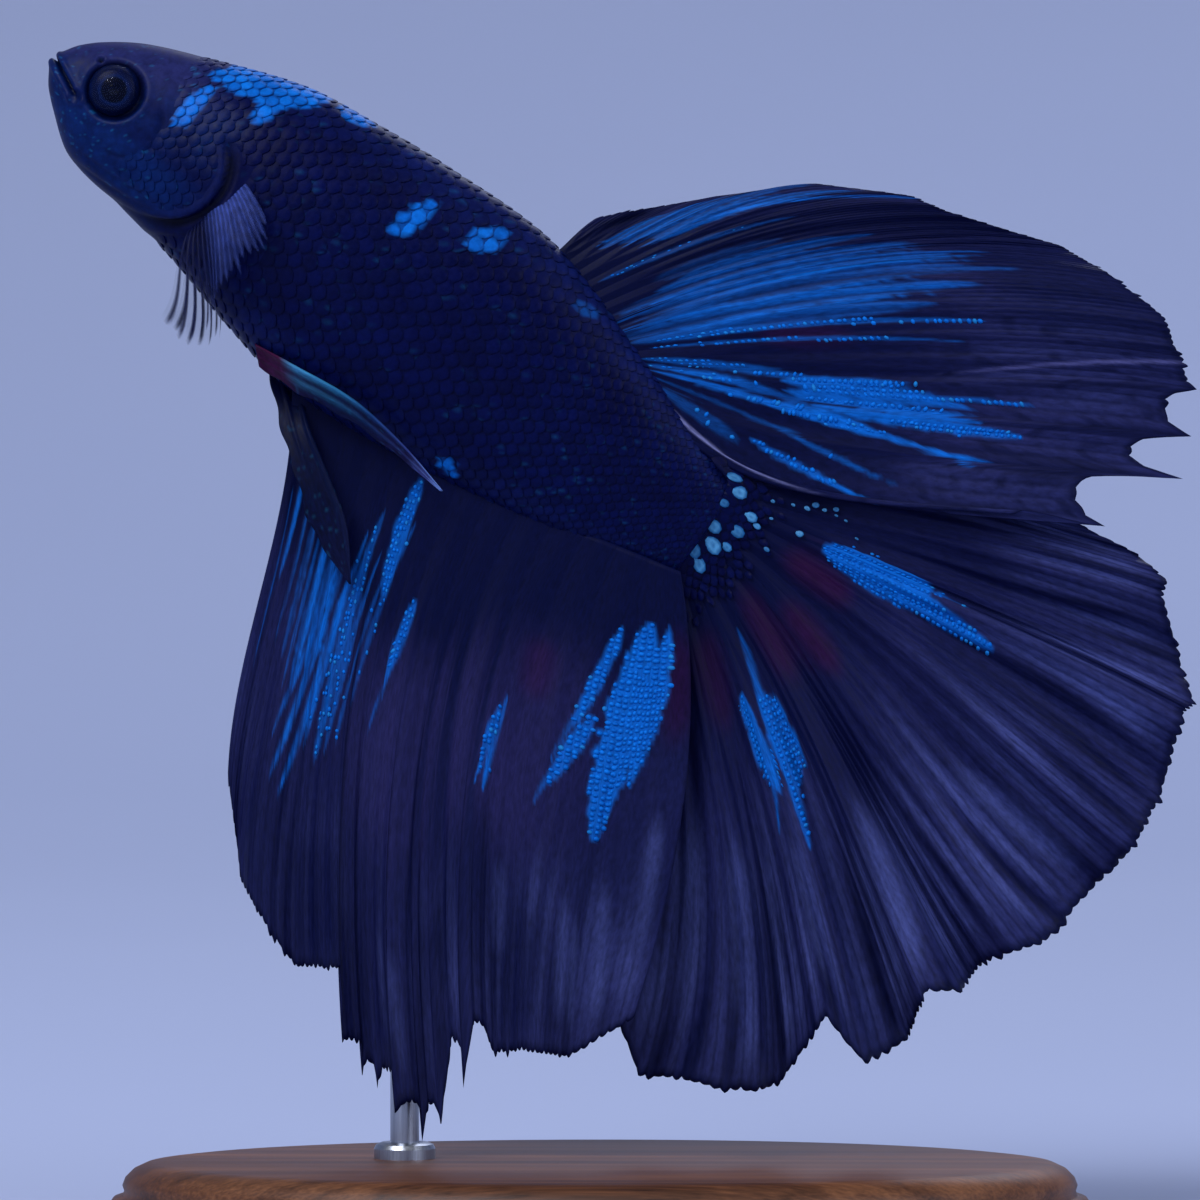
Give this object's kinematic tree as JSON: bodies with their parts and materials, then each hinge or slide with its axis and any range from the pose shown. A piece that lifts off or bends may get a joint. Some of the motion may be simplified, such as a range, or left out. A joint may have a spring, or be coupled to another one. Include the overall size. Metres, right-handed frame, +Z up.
{
  "type": "betta fish model on a display stand",
  "caption": "Life-size still model of a male betta fish, head up, with wide ragged fins, held over an oval wooden base by a thin steel rod.",
  "frame": {"origin": "centre of the underside of the oval base", "axes": "+Z up; the fish faces -X with its head up; its left side faces -Y"},
  "size_m": [0.0633, 0.036, 0.0656],
  "materials": {
    "skin": "near-black blue scaled skin with bright blue marks, slightly wet sheen",
    "fin": "dark indigo ribbed fin membrane with bright blue streaks",
    "clear_fin": "pale grey-blue ribbed fin membrane",
    "eye": "dark polished eye",
    "stand_wood": "oiled walnut",
    "stand_steel": "drawn steel"
  },
  "bodies": {
    "root": {"head": "skin", "lower_jaw": "skin", "gill_cover_left": "skin", "gill_cover_right": "skin", "trunk": "skin", "tail_base": "skin", "eye_left": "eye", "eye_right": "eye", "dorsal_fin": "fin", "caudal_fin": "fin", "anal_fin": "fin", "pelvic_fin_left": "fin", "pelvic_fin_right": "fin", "pectoral_fin_left": "clear_fin", "pectoral_fin_right": "clear_fin", "stand_base": "stand_wood", "stand_rod": "stand_steel", "stand_collar": "stand_steel"}
  },
  "joints": []
}
